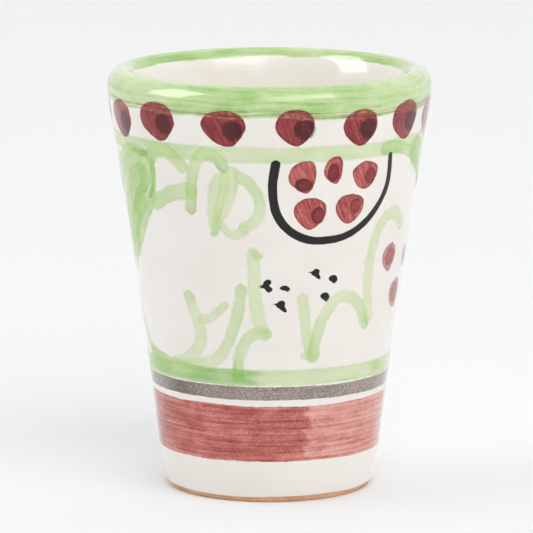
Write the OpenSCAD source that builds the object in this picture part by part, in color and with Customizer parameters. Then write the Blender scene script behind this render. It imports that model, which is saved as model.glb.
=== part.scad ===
// Hand-painted ceramic shot cup: a tapered terracotta tumbler under a white glaze, with a
// green lip, painted bands, a row of red dots, a half-round fruit and green sprigs.
// Origin: centre of the foot, on the surface the cup stands on. +Z is up, -Y is the front.
// A painted mark is placed by its angle round the cup (0 at the front, growing towards +X)
// and its height above the table.

/* [Cup] */
// Outer diameter of the lip
rim_d = 50; // [46:0.5:56]
// Height from the table to the top of the lip
height = 65; // [62:0.5:72]
// Diameter of the wall's own line where it meets the table
foot_d = 32.9; // [30:0.1:36]
// How far the wall is hollowed in at mid height
wall_sag = 0.54; // [0:0.02:1]
// How far the wall curls in from its own line to stand upright at the lip
lip_curl = 0.28; // [0.1:0.02:0.5]
// How far the wall turns in from its own line at the foot
foot_curl = 0.6; // [0:0.05:0.8]
// Thickness of the rounded lip
lip_w = 4.6; // [4:0.1:5.4]
// Height of the lip's rounding
lip_h = 2.6; // [2:0.1:3]

/* [Inside] */
// Diameter of the well near the floor
well_d = 25; // [22:0.5:27]
// Height of the floor inside
floor_z = 5.5; // [4:0.5:8]
// Radius between the floor and the inner wall
corner_r = 5; // [3:0.5:7]

/* [Foot] */
// Diameter of the flat bare ring that touches the table
contact_d = 30.4; // [29:0.1:31]
// Height of the rounding between the flat ring and the wall
foot_round = 0.4; // [0.3:0.05:0.6]
// Height of the bare clay below the glaze
bare_h = 0.8; // [0.8:0.1:2]
// Diameter of the shallow hollow underneath
recess_d = 24; // [18:1:26]
// Depth of that hollow
recess_h = 0.6; // [0.3:0.1:1.5]

/* [Coats] */
// Thickness of the white glaze
glaze_t = 0.35; // [0.2:0.05:0.6]
// Thickness of one coat of painted colour
paint_t = 0.06; // [0.04:0.01:0.1]

/* [Bands] */
// Lower edge of the green lip band, outside
rim_band_z = 59.8; // [57:0.1:61]
// How far below the top of the lip that band ends, inside
rim_band_drop = 1.2; // [0.5:0.1:2]
// Heights of the pale green band under the dots
shoulder_band_z = [53.6, 56.2];
// Heights of the green ground band
ground_band_z = [18.6, 21.3];
// Heights of the grey band
grey_band_z = [16.4, 18.5];
// Heights of the red band
red_band_z = [6.5, 15.2];

/* [Dots] */
// Height of the row of dots under the lip
dot_z = 58.9; // [58:0.1:60]
// Size of each dot, across and up
dot_size = [6.8, 5.8];
// Size of the dark dab on each dot
dab_size = [3.5, 3.3];

/* [Motif] */
// How many times the fruit and its sprigs go round the cup
motif_count = 2; // [1:1:2]
// Width of the black fruit outline
outline_w = 1.25; // [0.8:0.05:2]

/* [Hidden] */

rim_r = rim_d / 2;
foot_r = foot_d / 2;
well_r = well_d / 2;
lip_z = height - lip_h;
curl_z = lip_z - 3.9;
foot_curl_z = 7;
corner_z = floor_z + corner_r;
wall_steps = 20;
lip_steps = 16;
corner_steps = 8;
// Clear gap under and between coats, and the rise from one coat level to the next
coat_gap = 0.02;
coat_rise = paint_t + coat_gap;
// A ribbon has three points across, so it starts further out to clear the curve between them
ribbon_gap = 0.06;
spline_steps = 2;
blob_sides = 16;

clay_col = [0.80, 0.55, 0.38];
glaze_col = [0.93, 0.91, 0.89];
green_col = [0.62, 0.80, 0.46];
pale_green_col = [0.80, 0.87, 0.68];
red_col = [0.55, 0.17, 0.20];
dark_red_col = [0.33, 0.14, 0.16];
rose_col = [0.75, 0.42, 0.40];
grey_col = [0.57, 0.55, 0.54];
black_col = [0.16, 0.16, 0.16];

// Angles of the dots under the lip
dot_angles = [-67, -44, -16.5, 9, 34, 57, 80, 104, 127, 151, 175, 198, 222, 245, 269];

// Strokes are [width, [[angle, height], ...]]
leaf_strokes = [
    [3.6, [[-49.5, 52.5], [-51, 49.5], [-53, 47], [-58, 44.8], [-64, 42.3], [-70, 39.5], [-77, 36.5]]],
    [3.8, [[-53, 52.6], [-60, 52.8], [-68, 52], [-76, 50], [-84, 47.5]]],
    [3.8, [[-54, 50], [-61, 48.8], [-68, 46.5], [-76, 43], [-84, 39.5]]],
    [3.2, [[-60, 46], [-67, 43.5], [-74, 40.5], [-82, 37]]],
    [2.4, [[46.5, 54.8], [54, 54.7], [62, 53.9], [70, 52.4], [78, 50.2], [86, 47.6]]],
    [3.4, [[69, 54.6], [76, 52.8], [84, 50.4], [91, 47.4]]],
];
sprig_strokes = [
    [2.2, [[-51, 51.8], [-48, 54], [-43.5, 54.8], [-38.5, 54], [-34, 52.4]]],
    [2.2, [[-50, 45.8], [-45, 47.2], [-38, 48.3], [-31, 49]]],
    [2.1, [[-31.5, 46], [-30.8, 49], [-29.6, 51.6], [-27.5, 54], [-24, 55.1], [-20, 54.6], [-16.5, 52.6]]],
    [2.3, [[-14, 53], [-13.5, 50.4], [-16, 47], [-19.5, 44.6], [-22, 42.3]]],
    [2.2, [[-17.5, 51.8], [-21.5, 49.4], [-23, 46.2], [-22.3, 43]]],
    [1.8, [[-11.5, 52], [-8, 50.9], [-5, 49.2], [-3.6, 47], [-5, 45], [-8, 44], [-10.5, 43.6]]],
    [1.6, [[-9.5, 43.3], [-13.5, 42.5], [-17, 43.2], [-20, 44.4]]],
];
grass_strokes_list = [
    [1.9, [[-37, 32.4], [-35.2, 30.4], [-33, 28.9], [-32, 27], [-32.6, 25], [-35.3, 23.5], [-41, 22]]],
    [1.2, [[-31.5, 29.2], [-26.5, 29.2], [-22, 30.5], [-18, 31.7]]],
    [2.1, [[-12, 34], [-13.2, 31], [-16, 27.6], [-19.5, 24.6], [-24.5, 22.2], [-31, 20.8]]],
    [2.1, [[-6.8, 40], [-6.6, 36], [-6, 32], [-4.6, 29], [-2, 27]]],
    [1.5, [[-7, 39.9], [-3.8, 39.2]]],
    [2, [[-0.6, 26.5], [-5, 27.2], [-9, 26.8], [-12, 25.4], [-14, 23.2], [-14.8, 20.4]]],
    [1.6, [[14.2, 32.8], [15.5, 30], [17, 26.6], [19.2, 23.4]]],
    [2.1, [[20, 23.2], [21.6, 26.6], [24.6, 29.8], [29, 31.8], [34, 32.2], [39, 31.5], [44, 29.6], [47.6, 27]]],
    [2.2, [[66.5, 41.8], [63, 43.4], [58, 44.4], [52.5, 43.8], [48, 41.3], [46, 37.6], [46.4, 33.4], [49.4, 27.6]]],
    [1.1, [[15, 23.2], [21.5, 22.7]]],
];
fruit_path = [[2.4, 53.6], [1.1, 50], [2.8, 45.8], [8, 43.1], [15, 41.7], [23, 41.4], [31, 41.8],
              [38.5, 43.1], [45.5, 45.4], [50, 48.2], [51, 50.8], [50.2, 53.6]];

// Blobs are [angle, height, width, height of the blob, lean]
seed_blobs = [[12.5, 51.4, 4.4, 5.1, -0.15], [24.3, 52.2, 3.3, 4.5, -0.1], [38.2, 51.1, 5.1, 4.5, -0.15],
              [15.7, 45.7, 5.1, 5, -0.15], [32.3, 46, 5.1, 4.8, -0.12]];
seed_dab_blobs = [[12.8, 50.2, 3, 2.5, 0], [24.2, 51.9, 2.4, 3.2, -0.3], [40.8, 50.9, 2.5, 2.9, 0],
                  [19, 45.4, 2.5, 3.2, 0], [35, 46.4, 2.5, 2.8, 0]];
berry_blobs = [[59.6, 37.2, 4.2, 4.7, -0.1], [70.5, 31, 4.6, 4.8, -0.1], [80.5, 36.3, 3.6, 3.6, 0]];
speck_blobs = [[-1.4, 34.4, 1.8, 1.7, -0.2], [6.5, 34.1, 1.5, 1, 0], [4.6, 31.3, 1.8, 1.5, -0.3],
               [19.1, 36.2, 1.9, 1.5, -0.4], [27.5, 35.2, 1.5, 1.3, -0.3], [24.2, 32.5, 1.5, 1.3, -0.2]];

// ---- Section of the cup ----
// The wall's own line: a straight taper hollowed by wall_sag
function line_r(z) =
    let (u = z / lip_z)
    foot_r + (rim_r + lip_curl - foot_r) * u - 4 * wall_sag * u * (1 - u);
// Outer radius of the glazed wall, upright at the lip and turned in at the foot
function wall_r(z) =
    line_r(z) - (z > curl_z ? lip_curl * pow((z - curl_z) / (lip_z - curl_z), 2) : 0)
    - (z < foot_curl_z ? foot_curl * pow(1 - z / foot_curl_z, 2) : 0);
// Inner radius of the glazed wall
function inner_r(z) =
    let (u = (z - corner_z) / (lip_z - corner_z))
    well_r + (rim_r - lip_w - well_r) * u - 4 * wall_sag * u * (1 - u);

// Points of each stretch of the section, moved into the wall by off
function outer_pts(from_z, to_z, off) =
    [for (i = [0:wall_steps]) let (z = from_z + (to_z - from_z) * i / wall_steps) [wall_r(z) - off, z]];
function lip_pts(from_a, to_a, off) =
    [for (i = [1:lip_steps - 1]) let (a = from_a + (to_a - from_a) * i / lip_steps)
        [rim_r - lip_w / 2 + (lip_w / 2 - off) * cos(a), lip_z + (lip_h - off) * sin(a)]];
function inner_pts(off) =
    [for (i = [0:wall_steps]) let (z = lip_z + (corner_z - lip_z) * i / wall_steps) [inner_r(z) + off, z]];
function corner_pts(off) =
    [for (i = [1:corner_steps]) let (a = -90 * i / corner_steps)
        [well_r - corner_r + (corner_r + off) * cos(a), corner_z + (corner_r + off) * sin(a)]];
// The whole skin, from height from_z outside, over the lip and down to the middle of the floor
function skin_pts(from_z, off) =
    concat(outer_pts(from_z, lip_z, off), lip_pts(0, 180, off), inner_pts(off), corner_pts(off),
           [[0, floor_z - off]]);
function reversed(p) = [for (i = [len(p) - 1:-1:0]) p[i]];

module turned() { rotate_extrude($fn = 96) children(); }

module clay_body() {
    foot_edge_r = wall_r(foot_round) - glaze_t;
    foot_pts = [for (i = [0:6]) let (a = 15 * i)
        [contact_d / 2 + (foot_edge_r - contact_d / 2) * sin(a), foot_round * (1 - cos(a))]];
    color(clay_col) turned() polygon(concat(
        [[0, recess_h], [recess_d / 2, recess_h], [recess_d / 2 + recess_h, 0]],
        foot_pts, skin_pts(foot_round + 0.2, glaze_t)));
}

module white_glaze() {
    color(glaze_col) turned() polygon(concat(
        [[wall_r(bare_h) - glaze_t, bare_h], [wall_r(bare_h) - glaze_t / 3, bare_h]],
        skin_pts(bare_h + glaze_t / 2, 0),
        reversed(skin_pts(bare_h + glaze_t / 2, glaze_t))));
}

// ---- Painted coats ----
function coat_lo(level) = coat_gap + level * coat_rise;
function coat_hi(level) = coat_lo(level) + paint_t;

// A ring of colour on the outer wall
module coat_ring(z_range, level) {
    turned() polygon(concat(
        outer_pts(z_range[0], z_range[1], -coat_lo(level)),
        reversed(outer_pts(z_range[0], z_range[1], -coat_hi(level)))));
}

// A round mark: an oval prism along the radius, cut from a ring of colour
module blob(b, level) {
    angle = b[0];
    z = b[1];
    w = b[2];
    h = b[3];
    lean = b[4];
    outline = [for (k = [0:blob_sides - 1]) let (a = 360 * k / blob_sides)
        [w / 2 * cos(a), h / 2 * sin(a) + lean * w / 2 * cos(a)]];
    reach = h / 2 + abs(lean) * w / 2 + 0.5;
    intersection() {
        coat_ring([z - reach, min(z + reach, lip_z)], level);
        rotate([0, 0, angle]) translate([0, 0, z]) rotate([90, 0, 0])
            linear_extrude(height = rim_r + 2) polygon(outline);
    }
}

// Point p of the spline through hand-set points, in angle and height
function spline_pt(a, b, c, d, t) =
    0.5 * (2 * b + (c - a) * t + (2 * a - 5 * b + 4 * c - d) * t * t + (3 * b - a - 3 * c + d) * t * t * t);
function spline(p) = concat(
    [for (i = [0:len(p) - 2]) for (k = [0:spline_steps - 1])
        spline_pt(p[max(i - 1, 0)], p[i], p[i + 1], p[min(i + 2, len(p) - 1)], k / spline_steps)],
    [p[len(p) - 1]]);
// Millimetres round the wall for one degree at height z
function mm_per_deg(z) = wall_r(z) * PI / 180;
function on_wall(angle, z, out) =
    [(wall_r(min(z, lip_z)) + out) * sin(angle), -(wall_r(min(z, lip_z)) + out) * cos(angle), z];

// A brush stroke: a ribbon of colour that follows the wall, with narrowed ends
module stroke(path_pts, width, level) {
    p = spline(path_pts);
    last = len(p) - 1;
    lo = ribbon_gap + level * coat_rise;
    hi = lo + paint_t;
    rings = [for (i = [0:last])
        let (k = mm_per_deg(p[i][1]),
             d = p[min(i + 1, last)] - p[max(i - 1, 0)],
             run = norm([d[0] * k, d[1]]),
             half = width / 2 * (i == 0 || i == last ? 0.55 : 1),
             side = [-d[1] / run / k, d[0] * k / run] * half,
             l = p[i] + side,
             m = p[i],
             r = p[i] - side)
        [on_wall(l[0], l[1], lo), on_wall(m[0], m[1], lo), on_wall(r[0], r[1], lo),
         on_wall(r[0], r[1], hi), on_wall(m[0], m[1], hi), on_wall(l[0], l[1], hi)]];
    points = [for (ring = rings) for (pt = ring) pt];
    sides = [for (i = [0:last - 1]) for (j = [0:5])
        let (a = i * 6 + j, b = i * 6 + (j + 1) % 6)
        for (face = [[a, b, b + 6], [a, b + 6, a + 6]]) face];
    caps = [for (j = [0:1]) for (face = [
        [0 + j, 4 - j + 1, 4 - j], [0 + j, 4 - j, 1 + j]]) face];
    polyhedron(points = points, faces = concat(
        sides,
        [for (f = caps) f],
        [for (f = caps) [f[0] + last * 6, f[2] + last * 6, f[1] + last * 6]]));
}

// The motif repeated round the cup
module round_cup() {
    for (i = [0:motif_count - 1]) rotate([0, 0, 180 * i]) children();
}

module rim_band() {
    inner_a = 180 - asin((lip_h - rim_band_drop) / lip_h);
    outer = outer_pts(rim_band_z, lip_z, -coat_lo(0));
    outer_top = outer_pts(rim_band_z, lip_z, -coat_hi(0));
    color(green_col) turned() polygon(concat(
        outer, lip_pts(0, inner_a, -coat_lo(0)),
        reversed(concat(outer_top, lip_pts(0, inner_a, -coat_hi(0))))));
}

module dot_row() {
    color(red_col) for (a = dot_angles) blob([a, dot_z, dot_size[0], dot_size[1], -0.1], 1);
}

module dot_dabs() {
    color(dark_red_col) for (a = dot_angles)
        blob([a + 3.7, dot_z - 0.1, dab_size[0], dab_size[1], 0], 2);
}

module shoulder_band() { color(pale_green_col) coat_ring(shoulder_band_z, 0); }

module leaf_cluster() {
    color(green_col) round_cup() for (s = leaf_strokes) stroke(s[1], s[0], 1);
}

module sprigs() {
    color(pale_green_col) round_cup() for (s = sprig_strokes) stroke(s[1], s[0], 2.5);
}

module fruit_outline() {
    color(black_col) round_cup() stroke(fruit_path, outline_w, 1);
}

module fruit_seeds() { color(red_col) round_cup() for (b = seed_blobs) blob(b, 1); }

module seed_dabs() { color(dark_red_col) round_cup() for (b = seed_dab_blobs) blob(b, 2); }

module berries() { color(rose_col) round_cup() for (b = berry_blobs) blob(b, 1); }

module specks() { color(black_col) round_cup() for (b = speck_blobs) blob(b, 1); }

module grass_strokes() {
    color(pale_green_col) round_cup() for (s = grass_strokes_list) stroke(s[1], s[0], 1);
}

module ground_band() { color(green_col) coat_ring(ground_band_z, 0); }

module grey_band() { color(grey_col) coat_ring(grey_band_z, 0); }

module red_band() { color(rose_col) coat_ring(red_band_z, 0); }

clay_body();
white_glaze();
rim_band();
dot_row();
dot_dabs();
shoulder_band();
leaf_cluster();
sprigs();
fruit_outline();
fruit_seeds();
seed_dabs();
berries();
specks();
grass_strokes();
ground_band();
grey_band();
red_band();
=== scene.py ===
"""A hand-painted ceramic shot cup: terracotta under a white glaze, painted by brush.

Shapes are worked out in millimetres, by angle round the cup (0 at the front, growing towards +X)
and height above the table, and written to the meshes in metres. Every painted mark is a thin solid
that follows the glaze and carries attributes its material reads:
  brush  along the stroke, across it, and a number of its own, all in millimetres
  edge   how far the point is from the mark's edge, in millimetres
  load   how much colour the brush left there, from about 0 to 1
  stain  on the lip only, how much red the brush dragged out of the dots, 0 to 1
"""

import math
import random

import bpy
import numpy as np
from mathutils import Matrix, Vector


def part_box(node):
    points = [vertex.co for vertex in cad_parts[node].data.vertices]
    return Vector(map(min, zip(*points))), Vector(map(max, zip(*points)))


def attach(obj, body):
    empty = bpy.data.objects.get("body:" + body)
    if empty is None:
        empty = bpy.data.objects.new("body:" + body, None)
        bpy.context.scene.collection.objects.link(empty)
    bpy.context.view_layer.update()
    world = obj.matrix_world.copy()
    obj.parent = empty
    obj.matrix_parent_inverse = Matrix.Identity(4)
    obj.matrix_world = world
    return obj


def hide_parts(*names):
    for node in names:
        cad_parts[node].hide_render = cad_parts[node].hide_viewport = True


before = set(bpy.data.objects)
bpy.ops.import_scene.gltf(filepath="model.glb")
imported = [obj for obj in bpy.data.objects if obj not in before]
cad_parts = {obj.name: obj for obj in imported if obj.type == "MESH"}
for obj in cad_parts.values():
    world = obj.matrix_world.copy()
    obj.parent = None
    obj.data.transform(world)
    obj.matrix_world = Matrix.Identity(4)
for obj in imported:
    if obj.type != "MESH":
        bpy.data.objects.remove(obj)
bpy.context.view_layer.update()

MM = 0.001

# ---- Driving sizes, from the CAD nodes ----
glaze_lo, glaze_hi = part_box("white_glaze")
clay_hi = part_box("clay_body")[1]
RIM_R = glaze_hi.x / MM
HEIGHT = glaze_hi.z / MM
GLAZE_T = (glaze_hi.x - clay_hi.x) / MM
BARE_H = glaze_lo.z / MM

FOOT_R = 16.45  # where the wall's own line meets the table
WALL_SAG = 0.54  # how far the wall lies inside the straight line from foot to lip
LIP_W = 4.6
LIP_H = 2.6  # height of the lip's round top
LIP_Z = HEIGHT - LIP_H
LIP_CURL = 0.28  # how far the wall draws in from its line, from CURL_Z up to LIP_Z
CURL_Z = LIP_Z - 3.9
INNER_EASE_Z = 57.0  # where the lip's soft inner side meets the well's wall
INNER_EASE = 3.2
WELL_R = 12.5
FLOOR_Z = 5.5
CORNER_R = 5.0
CORNER_Z = FLOOR_Z + CORNER_R
CONTACT_R = 15.2  # the foot's flat ring ends here
FOOT_ROUND = 0.4
FOOT_CURL = 0.6  # how far the wall draws in from its line, from FOOT_CURL_Z down to the table
FOOT_CURL_Z = 7.0
RECESS_R = 12.0
RECESS_H = 0.6
WOBBLE_INSET = 0.1  # keeps the hand-made wall inside the CAD's true round
CLAY_TURNS = 256  # points round the clay
GLAZE_TURNS = 384

SUNK = 0.05  # how deep in the glaze a painted solid starts
FIRST_COAT = 0.018  # how far the lowest mark stands out of the glaze
COAT_STEP = 0.006  # how much further out each next mark stands
WASH_FADE = 0.22  # how far a green band's soft edge runs past the CAD band
BAND_FADE = 0.15  # the same for the grey band
RED_SOFT_TOP = 0.28  # the same for the red band's upper edge
RED_SOFT_FOOT = 0.05  # and for its lower edge
BAND_TURNS = 720  # points round a painted band
CREASE = 50  # edges sharper than this angle aren't smoothed

rng = random.Random(7)


def band_z(node):
    """Lower and upper height of a CAD node, in millimetres."""
    lo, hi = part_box(node)
    return lo.z / MM, hi.z / MM


def soft_band_z(node, fade=WASH_FADE):
    """The same for paint whose edges fade: as wide as the CAD band where they are half gone."""
    lo, hi = band_z(node)
    return lo - fade, hi + fade


# ---- Section of the cup ----
def line_r(z):
    """The wall's own slightly hollow line, without the foot's and the lip's curls."""
    u = z / LIP_Z
    return FOOT_R + (RIM_R + LIP_CURL - FOOT_R) * u - 4 * WALL_SAG * u * (1 - u)


def wall_r(z):
    """Outer radius of the glazed wall at height z, on over the lip's outer half."""
    if z > LIP_Z:
        rise = min(1.0, (z - LIP_Z) / LIP_H)
        return RIM_R - LIP_W / 2 + LIP_W / 2 * math.sqrt(1 - rise * rise)
    lip = LIP_CURL * ((z - CURL_Z) / (LIP_Z - CURL_Z)) ** 2 if z > CURL_Z else 0.0
    foot = FOOT_CURL * (1 - z / FOOT_CURL_Z) ** 2 if z < FOOT_CURL_Z else 0.0
    return line_r(z) - lip - foot


def inner_r(z):
    """Radius of the well at height z, above its rounded corner."""
    u = (z - CORNER_Z) / (LIP_Z - CORNER_Z)
    return WELL_R + (RIM_R - LIP_W - WELL_R) * u - 4 * WALL_SAG * u * (1 - u)


def wobble(angle, z):
    """How far the hand-made wall lies from its true round, in millimetres: below 0, so inside it."""
    a = math.radians(angle)
    share = max(0.0, z) / HEIGHT
    round_error = 0.05 * math.sin(2 * a + 0.6) + 0.03 * math.sin(3 * a + 1.9)
    ripple = 0.015 * math.sin(5 * a + z * 0.21) * math.sin(z * 0.33 + 1.3)
    return (round_error * share + ripple) - WOBBLE_INSET


def at(angle, r, z):
    """A point in metres from an angle in degrees, a radius and a height in millimetres."""
    a = math.radians(angle)
    return (r * math.sin(a) * MM, -r * math.cos(a) * MM, z * MM)


def on_wall(angle, z, out):
    """A point that stands out millimetres from the hand-made wall."""
    return at(angle, wall_r(z) + wobble(angle, z) + out, z)


def lip_pt(turn, out):
    """Radius and height on the lip, where turn runs from 0 outside, over the top, to 180 inside."""
    crown_r = RIM_R - LIP_W / 2
    if turn <= 90:
        t = math.radians(turn)
        return crown_r + (LIP_W / 2 + out) * math.cos(t), LIP_Z + (LIP_H + out) * math.sin(t)
    # From the crown a Bezier curve eases into the well's wall
    foot_r = inner_r(INNER_EASE_Z)
    slope = (inner_r(INNER_EASE_Z + 0.1) - foot_r) / 0.1
    curve = [Vector(p) for p in ((crown_r, HEIGHT), (crown_r - LIP_W / 2, HEIGHT),
                                 (foot_r + INNER_EASE * slope, INNER_EASE_Z + INNER_EASE),
                                 (foot_r, INNER_EASE_Z))]
    t = (turn - 90) / 90
    u = 1 - t
    p = curve[0] * u ** 3 + curve[1] * 3 * u * u * t + curve[2] * 3 * u * t * t + curve[3] * t ** 3
    run = (curve[1] - curve[0]) * u * u + (curve[2] - curve[1]) * 2 * u * t + (curve[3] - curve[2]) * t * t
    run.normalize()
    return p.x + run.y * out, p.y - run.x * out


# ---- Meshes ----
def make_piece(name, verts, faces, material, node, attributes=None):
    """A smooth-shaded mesh piece that stands for a CAD node and rides on the one body."""
    mesh = bpy.data.meshes.new(name)
    mesh.from_pydata(verts, [], faces)
    for key, values in (attributes or {}).items():
        values = np.asarray(values, np.float32)
        kind, field = ("FLOAT_VECTOR", "vector") if values.ndim == 2 else ("FLOAT", "value")
        mesh.attributes.new(key, kind, "POINT").data.foreach_set(field, values.ravel())
    mesh.shade_smooth()
    mesh.set_sharp_from_angle(angle=math.radians(CREASE))
    mesh.update()
    piece = bpy.data.objects.new(name, mesh)
    bpy.context.scene.collection.objects.link(piece)
    piece.data.materials.append(material)
    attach(piece, "root")
    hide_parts(node)
    return piece


def turned_mesh(profile, closed, turns, shift):
    """Verts and faces of a profile of (radius, height) turned round the axis.
    shift(angle, r, z) moves a point; ends at radius 0 become one vertex each."""
    verts, rows = [], []
    for r, z in profile:
        if r < 1e-6:
            rows.append([len(verts)] * turns)
            verts.append((0, 0, z * MM))
            continue
        rows.append(list(range(len(verts), len(verts) + turns)))
        for k in range(turns):
            angle = 360 * k / turns
            verts.append(at(angle, *shift(angle, r, z)))
    faces = []
    pairs = list(zip(rows, rows[1:])) + ([(rows[-1], rows[0])] if closed else [])
    for low, high in pairs:
        for k in range(turns):
            n = (k + 1) % turns
            loop = [low[k], low[n], high[n], high[k]]
            loop = [v for i, v in enumerate(loop) if v != loop[i - 1]]
            if len(loop) > 2:
                faces.append(loop)
    return verts, faces


def spread(start, stop, count):
    """count + 1 numbers at equal steps from start to stop."""
    return [start + (stop - start) * i / count for i in range(count + 1)]


def skin_profile(from_z, inset, rows=110):
    """The outer wall from from_z, over the lip and down to the middle of the floor."""
    pts = [(wall_r(z) - inset, z) for z in spread(from_z, LIP_Z, rows)]
    pts += [lip_pt(t, -inset) for t in spread(0, 180, 60)[1:-1]]
    pts += [(inner_r(z) + inset, z) for z in spread(INNER_EASE_Z, CORNER_Z, rows)]
    for t in spread(0, -90, 16)[1:]:
        a = math.radians(t)
        pts.append((WELL_R - CORNER_R + (CORNER_R + inset) * math.cos(a),
                    CORNER_Z + (CORNER_R + inset) * math.sin(a)))
    pts += [(r, FLOOR_Z - inset) for r in (5, 2.5)]
    return pts + [(0, FLOOR_Z - inset)]


def wobbled(angle, r, z):
    return r + wobble(angle, z), z


# ---- Brush strokes and dabs that follow the wall ----
STROKE_STEP = 0.25  # millimetres from one row of a stroke's points to the next
MM_PER_DEGREE = 0.38  # of the wall, near enough to space those rows
MIN_HALF = 0.03  # half of the width left at a stroke's very ends
REACH = 0.38  # how far a stroke's round ends pass its end points, in widths
ACROSS = (-1, -0.93, -0.82, -0.65, -0.4, -0.13, 0.13, 0.4, 0.65, 0.82, 0.93, 1)  # in half widths
EDGE_STEP = 1.3  # millimetres from one turn of a stroke's wavering edge to the next
TONE_STEP = 4.0  # the same for its load
TONE_CHANGE = 0.08
DAB_STREAK = math.radians(115)  # which way the brush's hairs dragged in a dab
DAB_STEPS = 7  # points from one of a dab's outline points to the next
DAB_ROUGH = 0.04  # how far a dab's outline points stray, as a share
DAB_RINGS = (1, 0.94, 0.86, 0.72, 0.54, 0.36, 0.18)

# Outlines in half widths and half heights. A dab is broad above and draws in below
DAB = [(-1.0, 0.16), (-0.84, -0.32), (-0.42, -0.76), (0.02, -0.99), (0.4, -0.92), (0.72, -0.58),
       (0.94, -0.12), (0.99, 0.3), (0.78, 0.78), (0.26, 0.99), (-0.3, 0.94), (-0.78, 0.66)]
# A plain round dab
ROUND = [(-1, 0.05), (-0.66, -0.72), (0.05, -1), (0.72, -0.68), (1, 0.05), (0.7, 0.72),
         (0, 1), (-0.72, 0.7)]
# A flick with a tail to the left and a foot to the lower right
FLICK = [(-1.08, 0.42), (-0.66, 0.26), (-0.5, -0.1), (-0.1, -0.4), (0.45, -0.92), (0.92, -1.0),
         (0.86, -0.55), (0.62, 0.0), (0.7, 0.55), (0.36, 0.96), (-0.12, 0.92), (-0.44, 0.56)]
# A splayed speck
SPLAY = [(-1.05, -0.02), (-0.72, -0.34), (-0.3, -0.36), (0.0, -0.75), (0.45, -1.0), (0.95, -0.72),
         (0.88, -0.3), (0.5, 0.05), (0.78, 0.5), (0.62, 0.92), (0.1, 1.0), (-0.36, 0.7), (-0.5, 0.22)]
# A lopsided bean
BEAN = [(-1.0, 0.3), (-0.75, -0.4), (0.05, -0.75), (0.7, -1.0), (1.0, -0.1), (0.5, 0.75), (-0.3, 0.95)]


def catmull_rom(a, b, c, d, t):
    """A point at t, 0 to 1, of the way from b to c on the smooth curve through a, b, c and d."""
    return 0.5 * (2 * b + (c - a) * t + (2 * a - 5 * b + 4 * c - d) * t * t
                  + (3 * b - a - 3 * c + d) * t ** 3)


def spline(points):
    """A smooth curve through given (angle, height) points, at about STROKE_STEP millimetres."""
    p = np.array(points, float)
    out = []
    for i in range(len(p) - 1):
        a, b, c, d = p[max(i - 1, 0)], p[i], p[i + 1], p[min(i + 2, len(p) - 1)]
        run = math.hypot((c - b)[0] * MM_PER_DEGREE, (c - b)[1])
        for t in np.linspace(0, 1, max(2, int(run / STROKE_STEP)), endpoint=False):
            out.append(catmull_rom(a, b, c, d, t))
    return np.array(out + [p[-1]])


def reach_out(points, more):
    """The same stroke with its two ends carried on straight by more millimetres."""
    def carried(inner, end):
        k = wall_r(end[1]) * math.pi / 180
        da, dz = (end[0] - inner[0]) * k, end[1] - inner[1]
        run = math.hypot(da, dz)
        return end[0] + da / run * more / k, end[1] + dz / run * more

    return [carried(points[1], points[0])] + points[1:-1] + [carried(points[-2], points[-1])]


def ripple(length, step, size):
    """A smooth random offset of up to size along a stroke, which turns about once in step."""
    knots = [rng.uniform(-1, 1) for _ in range(int(length / step) + 4)]

    def value(s):
        i = int(s / step)
        f = s / step - i
        f = f * f * (3 - 2 * f)
        return size * (knots[i] * (1 - f) + knots[i + 1] * f)

    return value


def random_phases(count):
    return [rng.uniform(0, 6.28) for _ in range(count)]


def wave_sum(angle, phases, size):
    """A wave round the cup: one sine for each phase, each lower than the last."""
    a = math.radians(angle)
    return size * sum(math.sin((q + 1) * (1 + q % 3) * a + ph) / (1 + 0.4 * q)
                      for q, ph in enumerate(phases))


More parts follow.
